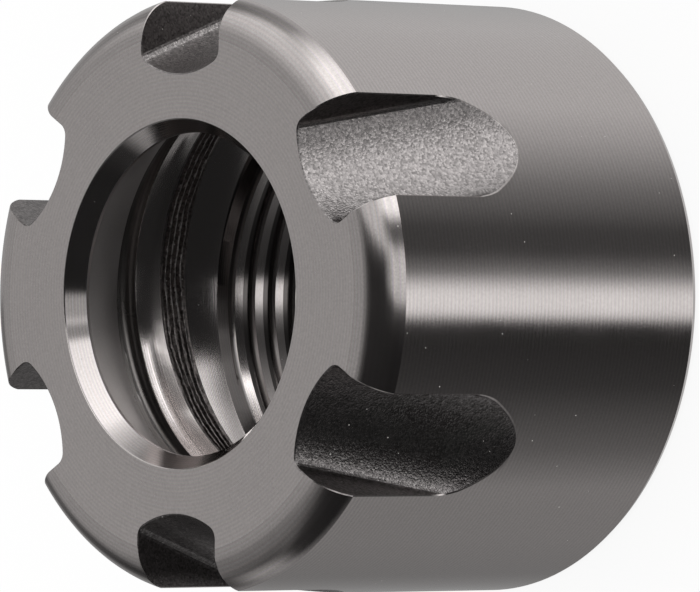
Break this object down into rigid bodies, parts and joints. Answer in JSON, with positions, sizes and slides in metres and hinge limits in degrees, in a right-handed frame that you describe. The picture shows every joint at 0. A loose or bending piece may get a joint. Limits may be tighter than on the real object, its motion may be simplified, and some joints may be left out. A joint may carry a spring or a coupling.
{
  "type": "collet nut",
  "caption": "Castle-slotted steel collet nut with a clamping cone, an eccentric extraction ring and a fine internal thread.",
  "frame": {"origin": "on the nut axis, in the threaded rear face on which the nut stands", "axes": "+Z along the nut axis towards the slotted front face, +X through the middle of one wrench slot and towards the shallow side of the extraction ring"},
  "size_m": [0.016, 0.016, 0.0115],
  "materials": {
    "turned_steel": "fine-turned bare steel, with rough blasted wrench slots"
  },
  "bodies": {
    "root": {"collet_nut": "turned_steel"}
  },
  "joints": []
}
